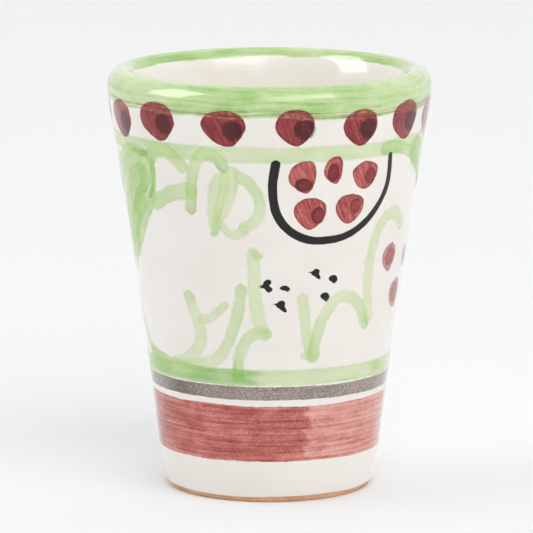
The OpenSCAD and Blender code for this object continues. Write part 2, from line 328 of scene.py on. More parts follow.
class Paint:
    """Collects the solids of one painted node and the attributes of their points."""

    def __init__(self, level=0):
        self.verts, self.faces = [], []
        self.brush, self.edge, self.load = [], [], []
        self.coat(level)

    def coat(self, level):
        """Sets how far out the next mark stands. Each mark then stands a step above the last."""
        self.out = FIRST_COAT + level * COAT_STEP

    def add(self, point, brush, edge, load):
        self.verts.append(point)
        self.brush.append(brush)
        self.edge.append(edge)
        self.load.append(load)

    def grid(self, rows, closed_along=False):
        """A thin solid from rows of (angle, height, brush, edge, load) points."""
        base = len(self.verts)
        for out in (self.out, -SUNK):
            for row in rows:
                for angle, z, *marks in row:
                    self.add(on_wall(angle, z, out), *marks)
        self.out += COAT_STEP
        self.join(base, len(rows), len(rows[0]), closed_along)

    def join(self, base, n, m, closed_along):
        """Faces of a thin solid from n rows of m points, upper side first, that start at base."""
        def v(i, j, under=0):
            return base + under * n * m + (i % n) * m + j

        last = n if closed_along else n - 1
        for i in range(last):
            for j in range(m - 1):
                self.faces.append((v(i, j), v(i, j + 1), v(i + 1, j + 1), v(i + 1, j)))
                self.faces.append((v(i, j, 1), v(i + 1, j, 1), v(i + 1, j + 1, 1), v(i, j + 1, 1)))
            for j, flip in ((0, False), (m - 1, True)):
                side = (v(i, j), v(i + 1, j), v(i + 1, j, 1), v(i, j, 1))
                self.faces.append(side[::-1] if flip else side)
        if not closed_along:
            for i, flip in ((0, True), (n - 1, False)):
                for j in range(m - 1):
                    side = (v(i, j), v(i, j + 1), v(i, j + 1, 1), v(i, j, 1))
                    self.faces.append(side[::-1] if flip else side)

    def stroke(self, width, points, load, start, end, taper, rough=0.05):
        """A ribbon along (angle, height) points. start and end are extra colour pooled at its ends,
        and taper is how much narrower its far end is."""
        p = spline(reach_out(points, width * REACH))
        k = np.array([wall_r(z) * math.pi / 180 for z in p[:, 1]])
        d = np.gradient(p, axis=0)
        run = np.hypot(d[:, 0] * k, d[:, 1])
        along = np.concatenate([[0], np.cumsum((run[1:] + run[:-1]) / 2)])
        length = along[-1]
        left, right = (ripple(length, EDGE_STEP, rough * width) for _ in range(2))
        tone = ripple(length, TONE_STEP, TONE_CHANGE)
        number = rng.uniform(0, 50)
        rows = []
        for i, (angle, z) in enumerate(p):
            s = along[i]
            full = width / 2 * (1 - taper * s / length)
            near = min(s, length - s, full) / full
            half = max(MIN_HALF, full * math.sqrt(max(0.0, 1 - (1 - near) ** 2)))
            pool = start * math.exp(-(s / width) ** 2) + end * math.exp(-((length - s) / width) ** 2)
            normal = (-d[i, 1] / run[i], d[i, 0] * k[i] / run[i])
            row = []
            for t in ACROSS:
                off = half * t + (left(s) if t < 0 else right(s)) * abs(t) * min(1, near * 2)
                row.append((angle + normal[0] * off / k[i], z + normal[1] * off,
                            (s, off, number), half * (1 - abs(t)), load + pool + tone(s)))
            rows.append(row[::-1])
        self.grid(rows)

    def dab(self, angle, z, width, height, turn=0.0, load=0.5, shape=DAB):
        """One press of a loaded brush: a closed outline filled by rings of points."""
        k = wall_r(z) * math.pi / 180
        jitter = [rng.uniform(-DAB_ROUGH, DAB_ROUGH) for _ in shape]
        ctrl = [(x * (1 + j), y * (1 + j)) for (x, y), j in zip(shape, jitter)]
        n = len(ctrl)
        outline = []
        for i in range(n):
            a, b, c, d = (np.array(ctrl[(i + q) % n]) for q in (-1, 0, 1, 2))
            for t in np.linspace(0, 1, DAB_STEPS, endpoint=False):
                outline.append(catmull_rom(a, b, c, d, t))
        c, s = math.cos(math.radians(turn)), math.sin(math.radians(turn))
        ring_pts = [((x * c - y * s) * width / 2, (x * s + y * c) * height / 2) for x, y in outline]
        number = rng.uniform(0, 50)
        lean = math.cos(DAB_STREAK), math.sin(DAB_STREAK)
        base, m = len(self.verts), len(ring_pts)
        size = min(width, height) / 2
        for out in (self.out, -SUNK):
            for share in DAB_RINGS:
                for x, y in ring_pts:
                    brush = (x * lean[0] + y * lean[1]) * share, (y * lean[0] - x * lean[1]) * share, number
                    point = on_wall(angle + x * share / k, z + y * share, out)
                    self.add(point, brush, size * (1 - share), load)
            self.add(on_wall(angle, z, out), (0, 0, number), size, load)
        self.out += COAT_STEP
        rings = len(DAB_RINGS)
        side = rings * m + 1
        for under in (0, 1):
            for r in range(rings):
                for j in range(m):
                    o1, o2 = (base + under * side + r * m + q for q in (j, (j + 1) % m))
                    if r + 1 < rings:
                        face = (o1, o2, o2 + m, o1 + m)
                    else:
                        face = (o1, o2, base + under * side + rings * m)
                    self.faces.append(face[::-1] if under else face)
        for j in range(m):
            a, b = base + j, base + (j + 1) % m
            self.faces.append((a, a + side, b + side, b))

    def ring(self, lo, hi, load, columns, low_ripple, high_ripple, rise=0.0):
        """A band right round the wall, from height lo to hi. load(angle, height) is the colour left
        there, and rise is how much higher its top edge runs at the left."""
        low, high = random_phases(6), random_phases(6)
        rows = []
        for i in range(BAND_TURNS):
            angle = 360 * i / BAND_TURNS - 180
            a = math.radians(angle)
            z0 = lo + wave_sum(angle, low, low_ripple)
            z1 = hi + wave_sum(angle, high, high_ripple) + rise * max(0.0, -math.sin(a))
            row = []
            for t in spread(0, 1, columns):
                soft = t * t * (3 - 2 * t)
                z = z0 + (z1 - z0) * soft
                r = wall_r(z)
                row.append((angle, z, (r * math.sin(a), z, r * math.cos(a)),
                            (z1 - z0) * min(soft, 1 - soft), load(angle, z)))
            rows.append(row[::-1])
        self.grid(rows, closed_along=True)

    def piece(self, name, material, node, slot, **more):
        """Makes the piece. A stain is in the glaze, so it neither shades it nor blocks its light."""
        piece = make_piece(name, self.verts, self.faces, material, node,
                           {"brush": self.brush, "edge": self.edge, "load": self.load, **more})
        piece.visible_shadow = False
        piece.visible_diffuse = False


# ---- Materials ----
class Nodes:
    """Short ways to add the nodes of one material."""

    def __init__(self, name):
        self.material = bpy.data.materials.new(name)
        self.material.use_nodes = True
        self.tree = self.material.node_tree
        self.bsdf = self.tree.nodes["Principled BSDF"]

    def link(self, value, socket):
        if isinstance(value, bpy.types.NodeSocket):
            self.tree.links.new(value, socket)
        else:
            socket.default_value = value

    def new(self, kind, **settings):
        node = self.tree.nodes.new(kind)
        for key, value in settings.items():
            setattr(node, key, value)
        return node

    def attribute(self, name, output="Fac"):
        return self.new("ShaderNodeAttribute", attribute_name=name).outputs[output]

    def object_coords(self):
        return self.new("ShaderNodeTexCoord").outputs["Object"]

    def scaled(self, vector, factors):
        node = self.new("ShaderNodeVectorMath", operation="MULTIPLY")
        self.link(vector, node.inputs[0])
        node.inputs[1].default_value = factors
        return node.outputs["Vector"]

    def noise(self, vector, scale, detail=3.0, roughness=0.55):
        node = self.new("ShaderNodeTexNoise")
        self.link(vector, node.inputs["Vector"])
        node.inputs["Scale"].default_value = scale
        node.inputs["Detail"].default_value = detail
        node.inputs["Roughness"].default_value = roughness
        return node.outputs["Fac"]

    def brushed_noise(self, along, across, detail=3.0, roughness=0.55):
        """Noise that follows the brush. along and across are its cells in a millimetre."""
        brush = self.scaled(self.attribute("brush", "Vector"), (along, across, along))
        return self.noise(brush, 1.0, detail, roughness)

    def math(self, operation, a, b=0.0, c=0.0, clamp=False):
        node = self.new("ShaderNodeMath", operation=operation, use_clamp=clamp)
        for value, socket in zip((a, b, c), node.inputs):
            self.link(value, socket)
        return node.outputs["Value"]

    def span(self, value, lo, hi, out_lo=0.0, out_hi=1.0, smooth=True):
        node = self.new("ShaderNodeMapRange",
                        interpolation_type="SMOOTHSTEP" if smooth else "LINEAR")
        self.link(value, node.inputs["Value"])
        for key, number in (("From Min", lo), ("From Max", hi), ("To Min", out_lo), ("To Max", out_hi)):
            node.inputs[key].default_value = number
        return node.outputs["Result"]

    def ramp(self, value, stops):
        node = self.new("ShaderNodeValToRGB")
        elements = node.color_ramp.elements
        while len(elements) < len(stops):
            elements.new(0.5)
        for element, (place, colour) in zip(elements, stops):
            element.position = place
            element.color = (*colour, 1)
        self.link(value, node.inputs["Fac"])
        return node.outputs["Color"]

    def mix(self, factor, a, b):
        node = self.new("ShaderNodeMix", data_type="RGBA")
        for key, value in (("Factor", factor), ("A", a), ("B", b)):
            self.link(value, node.inputs[key])
        return node.outputs["Result"]

    def bump(self, height, distance, strength):
        node = self.new("ShaderNodeBump")
        node.inputs["Strength"].default_value = strength
        node.inputs["Distance"].default_value = distance
        self.link(height, node.inputs["Height"])
        return node.outputs["Normal"]


def srgb(r, g, b):
    """Linear colour from the 0 to 255 values a paint chart gives."""
    def linear(c):
        return c / 255 / 12.92 if c <= 10 else ((c / 255 + 0.055) / 1.055) ** 2.4

    return linear(r), linear(g), linear(b)


GLOSS = 0.12
GLAZE_IOR = 1.33
COAT_IOR = 1.2
COAT_ROUGHNESS = 0.08
# The glaze stands thicker on the lip, and its gloss is sharper there
LIP_COAT_IOR = 1.36
LIP_COAT_ROUGHNESS = 0.05


def finish_glossy(n, colour, alpha=None, roughness=GLOSS, coat_ior=COAT_IOR,
                  coat_roughness=COAT_ROUGHNESS):
    """The shader of every glazed or painted surface. alpha is how much of the glaze paint hides."""
    n.link(colour, n.bsdf.inputs["Base Color"])
    n.link(roughness, n.bsdf.inputs["Roughness"])
    n.bsdf.inputs["IOR"].default_value = GLAZE_IOR
    n.bsdf.inputs["Coat Weight"].default_value = 1.0
    n.bsdf.inputs["Coat Roughness"].default_value = coat_roughness
    n.bsdf.inputs["Coat IOR"].default_value = coat_ior
    if alpha is not None:
        n.link(alpha, n.bsdf.inputs["Alpha"])
    return n.material


def glaze_material():
    """White glaze, faintly cloudy. In the well it is coloured lighter and warmer: painted light that stands
    in for the light bounced about inside the cup.
    """
    n = Nodes("tin_glaze")
    coords = n.object_coords()
    cloud = n.noise(coords, 90, 3)
    fine = n.noise(coords, 2200, 2)
    tone = n.math("ADD", n.math("MULTIPLY", cloud, 0.8), n.math("MULTIPLY", fine, 0.2))
    outside = n.ramp(tone, [(0.3, srgb(240, 234, 227)), (0.7, srgb(247, 243, 238))])
    # Painted light: a lighter, warmer glaze colour for the well, standing in for light bounced inside the cup
    well_bounce_light = n.ramp(tone, [(0.3, srgb(247, 242, 233)), (0.7, srgb(253, 250, 243))])
    colour = n.mix(n.attribute("well"), outside, well_bounce_light)
    material = finish_glossy(n, colour, roughness=n.span(cloud, 0.3, 0.7, 0.09, 0.14))
    height = n.math("ADD", cloud, n.math("MULTIPLY", n.noise(coords, 600, 2), 0.15))
    n.link(n.bump(height, 0.00012, 0.3), n.bsdf.inputs["Normal"])
    return material


def clay_material():
    """Dry orange clay with a fine grain."""
    n = Nodes("bare_terracotta")
    coords = n.object_coords()
    grain = n.noise(coords, 3500, 4, 0.7)
    cloud = n.noise(coords, 220, 3)
    tone = n.math("ADD", n.math("MULTIPLY", grain, 0.5), n.math("MULTIPLY", cloud, 0.5))
    colour = n.ramp(tone, [(0.25, srgb(178, 120, 82)), (0.5, srgb(228, 172, 130)),
                           (0.75, srgb(244, 206, 170))])
    n.link(colour, n.bsdf.inputs["Base Color"])
    n.link(n.span(grain, 0.3, 0.7, 0.75, 0.95), n.bsdf.inputs["Roughness"])
    n.link(n.bump(grain, 0.0001, 0.8), n.bsdf.inputs["Normal"])
    return n.material


def paint_material(name, stops, cover, streak, blotch, soft, grain, ragged, pool=0.0,
                   streak_size=(0.10, 2.2), ragged_size=(1.0, 2.0)):
    """A brushed colour. Density runs 0 to 1 from load, streaks along the brush, slow blotches, grain
    and colour that pools at the edge. stops colour it, and cover is its opacity at densities 0 and 1.
    soft is how wide its edge fades, and ragged how far that wanders, in millimetres."""
    n = Nodes(name)
    edge = n.attribute("edge")
    density = n.attribute("load")
    streaks = n.brushed_noise(*streak_size, 4, 0.6)
    blotches = n.brushed_noise(0.35, 0.5)
    speck = n.brushed_noise(4.5, 4.5, 2, 0.7)
    fray = n.brushed_noise(*ragged_size)
    for field, amount in ((streaks, streak), (blotches, blotch), (speck, grain)):
        density = n.math("MULTIPLY_ADD", n.math("SUBTRACT", field, 0.5), amount * 2, density)
    # Frayed inwards only, so that a mark has faded out before its solid's side
    eaten = n.math("MAXIMUM", n.math("SUBTRACT", fray, 0.35), 0.0)
    inside = n.math("MULTIPLY_ADD", eaten, ragged * -2, edge)
    if pool:
        rim = n.math("MULTIPLY", n.span(inside, soft * 0.3, soft),
                     n.span(inside, soft, soft + 0.35, 1.0, 0.0))
        density = n.math("MULTIPLY_ADD", rim, pool, density)
    density = n.math("MAXIMUM", n.math("MINIMUM", density, 1.0), 0.0)
    body = n.span(density, 0, 1, cover[0], cover[1], smooth=False)
    alpha = n.math("MULTIPLY", body, n.span(inside, 0.0, soft), clamp=True)
    colour = n.ramp(density, stops)
    return n, colour, alpha, streaks


def plain_paint(*args, **settings):
    """A brushed colour under the gloss of the glaze."""
    n, colour, alpha, _ = paint_material(*args, **settings)
    return finish_glossy(n, colour, alpha)


def lip_paint(name, stops, cover, **settings):
    """The lip's green, thinned and browned in streaks where it ran over the red dots."""
    n, colour, alpha, streaks = paint_material(name, stops, cover, **settings)
    stain = n.attribute("stain")
    over_dot = n.span(stain, 0.45, 0.9)
    drawn = n.math("MULTIPLY", stain, n.span(streaks, 0.46, 0.6, 0.0, 1.4))
    brim = n.math("MULTIPLY", over_dot, n.math("SUBTRACT", 1.0, over_dot))
    mottle = n.brushed_noise(1.1, 1.6, 3, 0.7)
    mottled = n.math("MULTIPLY_ADD", n.math("SUBTRACT", mottle, 0.5), 0.9, streaks)
    browned = n.ramp(n.math("MULTIPLY_ADD", brim, 1.2, mottled), STAIN_STOPS)
    mixed = n.mix(n.math("ADD", over_dot, drawn, clamp=True), colour, browned)
    thinned = n.math("MULTIPLY", alpha, n.math("MULTIPLY_ADD", over_dot, -0.26, 1.0))
    return finish_glossy(n, mixed, thinned, coat_ior=LIP_COAT_IOR, coat_roughness=LIP_COAT_ROUGHNESS)


# Colours from thin to thick paint
GREEN_STOPS = [(0.0, srgb(201, 224, 158)), (0.3, srgb(172, 208, 122)), (0.6, srgb(140, 192, 92)),
               (0.85, srgb(108, 170, 66)), (1.0, srgb(88, 152, 56))]
LIP_STOPS = [(0.0, srgb(202, 226, 156)), (0.3, srgb(172, 211, 116)), (0.6, srgb(134, 193, 80)),
             (0.85, srgb(104, 172, 58)), (1.0, srgb(86, 154, 50))]
RED_STOPS = [(0.0, srgb(204, 116, 106)), (0.3, srgb(164, 62, 64)), (0.7, srgb(116, 28, 38)),
             (1.0, srgb(80, 18, 28))]
ROSE_STOPS = [(0.0, srgb(232, 174, 164)), (0.35, srgb(212, 132, 122)), (0.65, srgb(184, 92, 86)),
              (1.0, srgb(138, 50, 52))]
DARK_STOPS = [(0.0, srgb(124, 48, 52)), (0.4, srgb(74, 25, 31)), (0.7, srgb(50, 14, 20)),
              (1.0, srgb(36, 11, 15))]
GREY_STOPS = [(0.0, srgb(222, 212, 204)), (0.3, srgb(176, 160, 152)), (0.65, srgb(122, 108, 103)),
              (1.0, srgb(74, 64, 62))]
BLACK_STOPS = [(0.0, srgb(30, 29, 29)), (1.0, srgb(12, 12, 13))]
STAIN_STOPS = [(0.34, srgb(204, 146, 116)), (0.48, srgb(172, 104, 80)), (0.6, srgb(122, 52, 40)),
               (0.8, srgb(84, 30, 26))]

glaze = glaze_material()
clay = clay_material()
wash = plain_paint("green_wash", GREEN_STOPS, (0.5, 0.97), streak=0.34, blotch=0.3, pool=0.07,
                   soft=0.46, streak_size=(0.12, 2.4), grain=0.2, ragged=0.15)
leaf_wash = plain_paint("leaf_wash", GREEN_STOPS, (0.55, 0.98), streak=0.62, blotch=0.36, pool=0.16,
                        soft=0.4, streak_size=(0.12, 3.4), grain=0.2, ragged=0.2)
lip_green = lip_paint("lip_green", LIP_STOPS, (0.68, 0.98), streak=0.52, blotch=0.4, soft=0.3,
                      streak_size=(0.05, 2.6), grain=0.22, ragged=0.25, ragged_size=(0.3, 2.0))
red = plain_paint("brick_red", RED_STOPS, (0.98, 1.0), streak=0.5, blotch=0.3, pool=0.14, soft=0.14,
                  streak_size=(0.4, 3.0), grain=0.4, ragged=0.1)
dark_red = plain_paint("wine_red", DARK_STOPS, (0.76, 0.96), streak=0.6, blotch=0.3, soft=0.5,
                       streak_size=(0.8, 3.0), grain=0.2, ragged=0.25)
soft_red = plain_paint("soft_wine_red", RED_STOPS, (0.62, 0.95), streak=0.4, blotch=0.3, pool=0.2,
                       soft=0.25, streak_size=(0.6, 3.0), grain=0.3, ragged=0.15)
rose = plain_paint("rose_red", ROSE_STOPS, (0.96, 1.0), streak=0.72, blotch=0.4, soft=0.2,
                   streak_size=(0.07, 2.4), grain=0.55, ragged=0.14)
grey = plain_paint("speckled_grey", GREY_STOPS, (0.85, 1.0), streak=0.15, blotch=0.15, soft=0.2,
                   grain=0.8, ragged=0.12)
black = plain_paint("dense_black", BLACK_STOPS, (1.0, 1.0), streak=0.2, blotch=0.2, soft=0.1,
                    grain=0.1, ragged=0.05)

# ---- The cup ----
foot_edge_r = wall_r(FOOT_ROUND) - GLAZE_T
clay_profile = [(0, RECESS_H), (4, RECESS_H), (8, RECESS_H), (RECESS_R, RECESS_H),
                (RECESS_R + 0.25, RECESS_H - 0.2), (RECESS_R + RECESS_H, 0.0), (14, 0.0)]
clay_profile += [(CONTACT_R + (foot_edge_r - CONTACT_R) * math.sin(math.radians(t)),
                  FOOT_ROUND * (1 - math.cos(math.radians(t)))) for t in spread(0, 90, 8)]
clay_profile += skin_profile(FOOT_ROUND + 0.2, GLAZE_T, rows=60)
verts, faces = turned_mesh(clay_profile, False, CLAY_TURNS, wobbled)
make_piece("clay_cup", verts, faces, clay, "clay_body")


def glaze_edge(angle, r, z):
    """The glaze's lower edge runs a little up and down, and everything follows the wall."""
    a = math.radians(angle)
    sway = 0.05 * math.sin(2 * a + 0.4) + 0.04 * math.sin(5 * a) + 0.02 * math.sin(11 * a + 1)
    fade = max(0.0, 1 - (z - BARE_H) / 2.0) if r > CONTACT_R - 1 else 0.0
    return r + wobble(angle, z), z + sway * fade


roll = [(wall_r(BARE_H) - GLAZE_T, BARE_H)]
roll += [(wall_r(BARE_H + 0.3) - GLAZE_T * (1 - math.sin(math.radians(t))),
          BARE_H + 0.3 - 0.3 * math.cos(math.radians(t))) for t in spread(20, 80, 4)]
glaze_profile = roll + skin_profile(BARE_H + 0.35, 0.0)
glaze_profile += skin_profile(BARE_H + 0.35, GLAZE_T, rows=30)[::-1]
verts, faces = turned_mesh(glaze_profile[:-1], True, GLAZE_TURNS, glaze_edge)
# Painted light: in the well the glaze is coloured lighter and warmer, standing in for light bounced about
# inside the cup
in_well = [float(z / MM > FLOOR_Z - 1 and math.hypot(x, y) / MM < wall_r(min(z / MM, LIP_Z)) - LIP_W / 2)
           for x, y, z in verts]
make_piece("glaze_coat", verts, faces, glaze, "white_glaze", {"well": in_well})


# ---- Painted bands ----
def smooth(x, lo, hi):
    """0 below lo, 1 above hi, and a soft step between."""
    t = min(1.0, max(0.0, (x - lo) / (hi - lo)))
    return t * t * (3 - 2 * t)


def second_coat(angle, start, stop, blur=3.0):
    """1 between two angles where the brush went over again, 0 elsewhere."""
    return smooth(angle, start - blur, start + blur) * (1 - smooth(angle, stop - blur, stop + blur))


def red_load(angle, z):
    """A second coat from the left side to just right of the front, with a ragged end and a thin top."""
    ragged = 1.6 * math.sin(z * 2.1) + 1.2 * math.sin(z * 4.7 + 1)
    return 0.24 + 0.36 * second_coat(angle, -112, 19 + ragged, 1.2) * (1 - 0.7 * smooth(z, 15.3, 15.9))


def ground_load(angle, z):
    """A second coat over the band's upper part, left of the front, and one over all of it behind."""
    over = second_coat(angle, -86, -6 + 2 * math.sin(z * 3.1), 4) * smooth(z, 18.2, 19.4)
    return 0.14 + 0.44 * over + 0.24 * second_coat(angle, 104, 168, 5)


red_band = Paint()
red_low, red_top = band_z("red_band")
red_band.ring(red_low - RED_SOFT_FOOT, red_top + RED_SOFT_TOP, red_load, columns=30, low_ripple=0.03,
              high_ripple=0.05, rise=0.25)
red_band.piece("red_band_paint", rose, "red_band", "rose_paint")

grey_band = Paint()
grey_band.ring(*soft_band_z("grey_band", BAND_FADE), lambda a, z: 0.5 + 0.2 * second_coat(a, -56, -38, 6),
               columns=12, low_ripple=0.04, high_ripple=0.04)
grey_band.piece("grey_band_paint", grey, "grey_band", "grey_paint")

ground = Paint(1)
ground.ring(*soft_band_z("ground_band"), ground_load, columns=14, low_ripple=0.05, high_ripple=0.06)
ground.dab(-14.4, 20.1, 2.7, 1.9, load=0.5, shape=ROUND)
ground.dab(61, 20.2, 4.4, 2.1, load=0.22, shape=ROUND)
ground.piece("ground_band_paint", wash, "ground_band", "green_paint")

shoulder = Paint()
shoulder.ring(*soft_band_z("shoulder_band"), lambda a, z: 0.1 + 0.12 * second_coat(a, -100, -24, 5),
              columns=12, low_ripple=0.03, high_ripple=0.04)
shoulder.piece("shoulder_band_paint", wash, "shoulder_band", "pale_green_paint")

# ---- The motif, once at the front and once at the back ----
TURNS = (0, 180)


def turned(points, turn):
    return [(a + turn, z) for a, z in points]


# Strokes: width, (angle, height) points, load, pool at the start, pool at the end, taper
LEAF = [
    (8.0, [(-63, 51.6), (-66, 47.5), (-72, 42), (-79, 37)], 0.02, 0.0, 0.0, 0.35),
    (6.0, [(-77, 51), (-79, 47), (-82, 42.5)], 0.04, 0.0, 0.0, 0.4),
    (4.6, [(-53.4, 52.6), (-53, 50.6), (-53.8, 48.2), (-56.5, 45.9), (-61, 43.9), (-67, 41.3), (-75, 37.9)],
     0.26, 0.0, 0.0, 0.05),
    (4.8, [(-56, 53), (-62, 53), (-69, 52), (-77, 50.4), (-87, 48)], 0.24, 0.0, 0.0, 0.2),
    (5.2, [(-57, 50), (-63, 48.8), (-70, 46.4), (-78, 43), (-87, 39.5)], 0.24, 0.0, 0.0, 0.3),
    (4.0, [(-60, 46), (-67, 43.4), (-74, 40.4), (-84, 36.4)], 0.24, 0.0, 0.0, 0.45),
    (1.7, [(-49.4, 52.8), (-49.2, 50.6), (-50.4, 48.6), (-52.6, 47.2)], 0.42, 0.0, 0.1, 0.2),
    (2.2, [(-56, 48.2), (-60.5, 47.6), (-64, 45.8), (-68, 44)], 0.4, 0.0, 0.0, 0.3),
    (1.8, [(-62, 43.8), (-66, 41.8), (-71, 39.6)], 0.42, 0.0, 0.0, 0.3),
    (1.6, [(-52.4, 54), (-56, 53.7), (-61, 54)], 0.46, 0.1, 0.0, 0.3),
    (2.6, [(46.6, 54.8), (54, 54.7), (62, 53.9), (70, 52.4), (78, 50.2), (86, 47.6)], 0.22, 0.12, 0.0, 0.3),
    (5.4, [(69.5, 53.6), (76, 51.9), (84, 49.9), (92, 47.4)], 0.28, 0.1, 0.0, 0.5),
]
SPRIGS = [
    (3.0, [(-49.5, 53.2), (-47.5, 54.3), (-43, 54.8), (-38.5, 54.1), (-34, 52.5)], 0.22, 0.0, 0.0, 0.1),
    (2.9, [(-50.5, 46.1), (-44.5, 47.4), (-38, 48.4), (-30.6, 48.9)], 0.14, 0.0, 0.05, -0.05),
    (2.5, [(-31.6, 46), (-30.8, 49), (-29.6, 51.6), (-27.5, 53.8), (-24, 54.8), (-20, 54.4), (-17, 52.8)],
     0.22, 0.24, 0.2, 0.0),
    (3.2, [(-14, 52), (-14.2, 50), (-16.6, 47), (-19.5, 44.8), (-21.8, 43)], 0.04, 0.08, 0.25, 0.45),
    (2.9, [(-18.4, 51), (-20.9, 49), (-22.2, 46.4), (-22, 43.6)], 0.02, 0.0, 0.06, 0.3),
    (2.4, [(-16.6, 51.2), (-18, 48.6), (-20, 46.2), (-21.6, 44)], -0.06, 0.0, 0.0, 0.3),
    (2.3, [(-11.5, 51.6), (-8, 50.7), (-5, 49.1), (-3.7, 47), (-5, 45), (-8, 44), (-10.2, 43.7)],
     0.06, 0.0, 0.14, 0.0),
    (2.2, [(-9.8, 43.2), (-13.5, 42.5), (-17, 43), (-19.6, 44.2)], 0.0, 0.08, 0.0, 0.2),
]
GRASS = [
    (2.6, [(-36.8, 32.2), (-35, 30.2), (-33, 28.6), (-32, 26.6), (-33.2, 24.8), (-37, 23), (-43, 21.8),
           (-50, 21)], 0.0, 0.3, -0.05, 0.0),
    (2.1, [(-31.5, 28.8), (-27, 29), (-22.8, 30.2), (-19.2, 31.3)], 0.04, 0.0, 0.0, 0.15),
    (2.4, [(-12, 34), (-13.2, 31), (-16, 27.6), (-19.4, 24.9), (-24, 22.9), (-30, 21.9), (-38, 21.3),
           (-50, 20.9)], 0.12, 0.2, 0.0, 0.0),
    (2.6, [(-6.6, 39.7), (-6.3, 36), (-5.8, 32), (-4.6, 29), (-2.8, 27.6)], 0.02, 0.1, 0.0, 0.0),
    (1.7, [(-6.4, 39.7), (-4.1, 39.1)], 0.0, 0.0, 0.12, 0.0),
    (2.7, [(-1.5, 26.9), (-5, 27), (-9, 26.4), (-12, 24.8), (-14, 22.6), (-14.8, 20.6)], 0.08, 0.1, 0.5, 0.2),
    (2.2, [(14.2, 32.6), (15.2, 30), (16.6, 26.6), (18.2, 24)], 0.0, 0.08, 0.08, 0.0),
    (2.5, [(20, 23), (21.2, 26), (24.2, 29.4), (29, 31.7), (34, 32.2), (39, 31.6), (44, 29.8), (47.2, 27.4)],
     0.08, 0.26, 0.16, 0.0),
    (2.6, [(66, 41.9), (63, 43.3), (58, 44.3), (52.5, 43.8), (48, 41.3), (46, 37.6), (46.4, 33.4),
           (49, 28.2)], -0.04, 0.06, 0.0, 0.0),
    (1.7, [(15.6, 23.4), (18.6, 23.1)], 0.06, 0.0, 0.1, 0.0),
    (3.2, [(-58, 21), (-68, 22), (-76, 24.2), (-83, 27.6), (-89, 32)], 0.14, 0.0, 0.0, 0.5),
    (2.0, [(-70, 22), (-58, 21.6), (-45, 21.3), (-33, 21.1), (-20, 20.8)], 0.3, 0.0, 0.0, 0.8),
]


def painted_strokes(name, strokes, material, node, slot, level):
    paint = Paint()
    for turn in TURNS:
        paint.coat(level)
        for width, points, *marks in strokes:
            paint.stroke(width, turned(points, turn), *marks)
    paint.piece(name, material, node, slot)


painted_strokes("leaf_strokes", LEAF, leaf_wash, "leaf_cluster", "green_paint", 2)
painted_strokes("sprig_strokes", SPRIGS, wash, "sprigs", "pale_green_paint", 9)
painted_strokes("grass_brush_strokes", GRASS, wash, "grass_strokes", "pale_green_paint", 3)

FRUIT = [(2.4, 53.6), (1.1, 50), (2.8, 45.8), (8, 43.1), (15, 41.7), (23, 41.4), (31, 41.8),
         (38.5, 43.1), (45.5, 45.4), (50, 48.2), (51, 50.8), (50.2, 53.6)]
fruit = Paint(12)
for turn in TURNS:
    fruit.stroke(1.6, turned(FRUIT, turn), 0.5, 0.0, 0.0, 0.32, rough=0.02)
fruit.piece("fruit_outline_paint", black, "fruit_outline", "black_paint")

# Dabs: angle, height, width, height of the dab, turn
SEEDS = [(12.5, 51.4, 4.5, 5.3, 10), (24.3, 52.2, 3.3, 4.6, 15), (38.2, 51.1, 5.2, 4.6, -12),
         (15.7, 45.7, 5.3, 5.1, -14), (32.3, 46, 5.3, 4.8, -12)]
BERRIES = [(59.6, 37.2, 4.3, 4.8, 0), (70.5, 31, 4.8, 4.9, 0), (80.5, 36.3, 3.8, 3.8, 0)]
# The same, and then the load
SEED_DABS = [(12.8, 50.2, 3.1, 2.5, 0, 0.7), (24.2, 51.9, 2.3, 3.5, 30, 0.75),
             (40.8, 50.9, 2.5, 2.9, 0, 0.52), (19, 45.4, 2.6, 3.2, 0, 0.58), (35, 46.4, 2.5, 2.8, 0, 0.52)]
# The same, and then the load and the outline
SPECKS = [(-1.4, 34.5, 2.2, 2.1, 0, 0.5, SPLAY), (6.5, 34.1, 1.7, 1.1, 0, 0.5, BEAN),
          (4.6, 31.3, 2.4, 2.0, 0, 0.5, FLICK), (19.1, 36.2, 2.3, 1.8, 0, 0.5, FLICK),
          (27.5, 35.2, 1.8, 1.4, -20, 0.5, BEAN), (24.2, 32.5, 1.8, 1.5, -20, 0.5, BEAN)]

seeds, seed_dabs, berries, specks = Paint(), Paint(), Paint(), Paint()
for turn in TURNS:
    for paint in (seeds, berries, specks):
        paint.coat(4)
    seed_dabs.coat(10)
    for a, *dab in SEEDS:
        seeds.dab(a + turn, *dab, load=0.2)
    for a, *dab in SEED_DABS:
        seed_dabs.dab(a + turn, *dab, shape=ROUND)
    for a, z, w, h, lean in BERRIES:
        berries.dab(a + turn, z, w, h, lean, load=0.24)
        berries.dab(a + 0.6 + turn, z + 0.1, w * 0.7, h * 0.7, lean, load=0.3, shape=ROUND)
    for a, *dab in SPECKS:
        specks.dab(a + turn, *dab)
seeds.piece("seed_dots", red, "fruit_seeds", "red_paint")
seed_dabs.piece("seed_dark_dabs", soft_red, "seed_dabs", "dark_red_paint")
berries.piece("berry_dots", soft_red, "berries", "rose_paint")
specks.piece("black_specks", black, "specks", "black_paint")

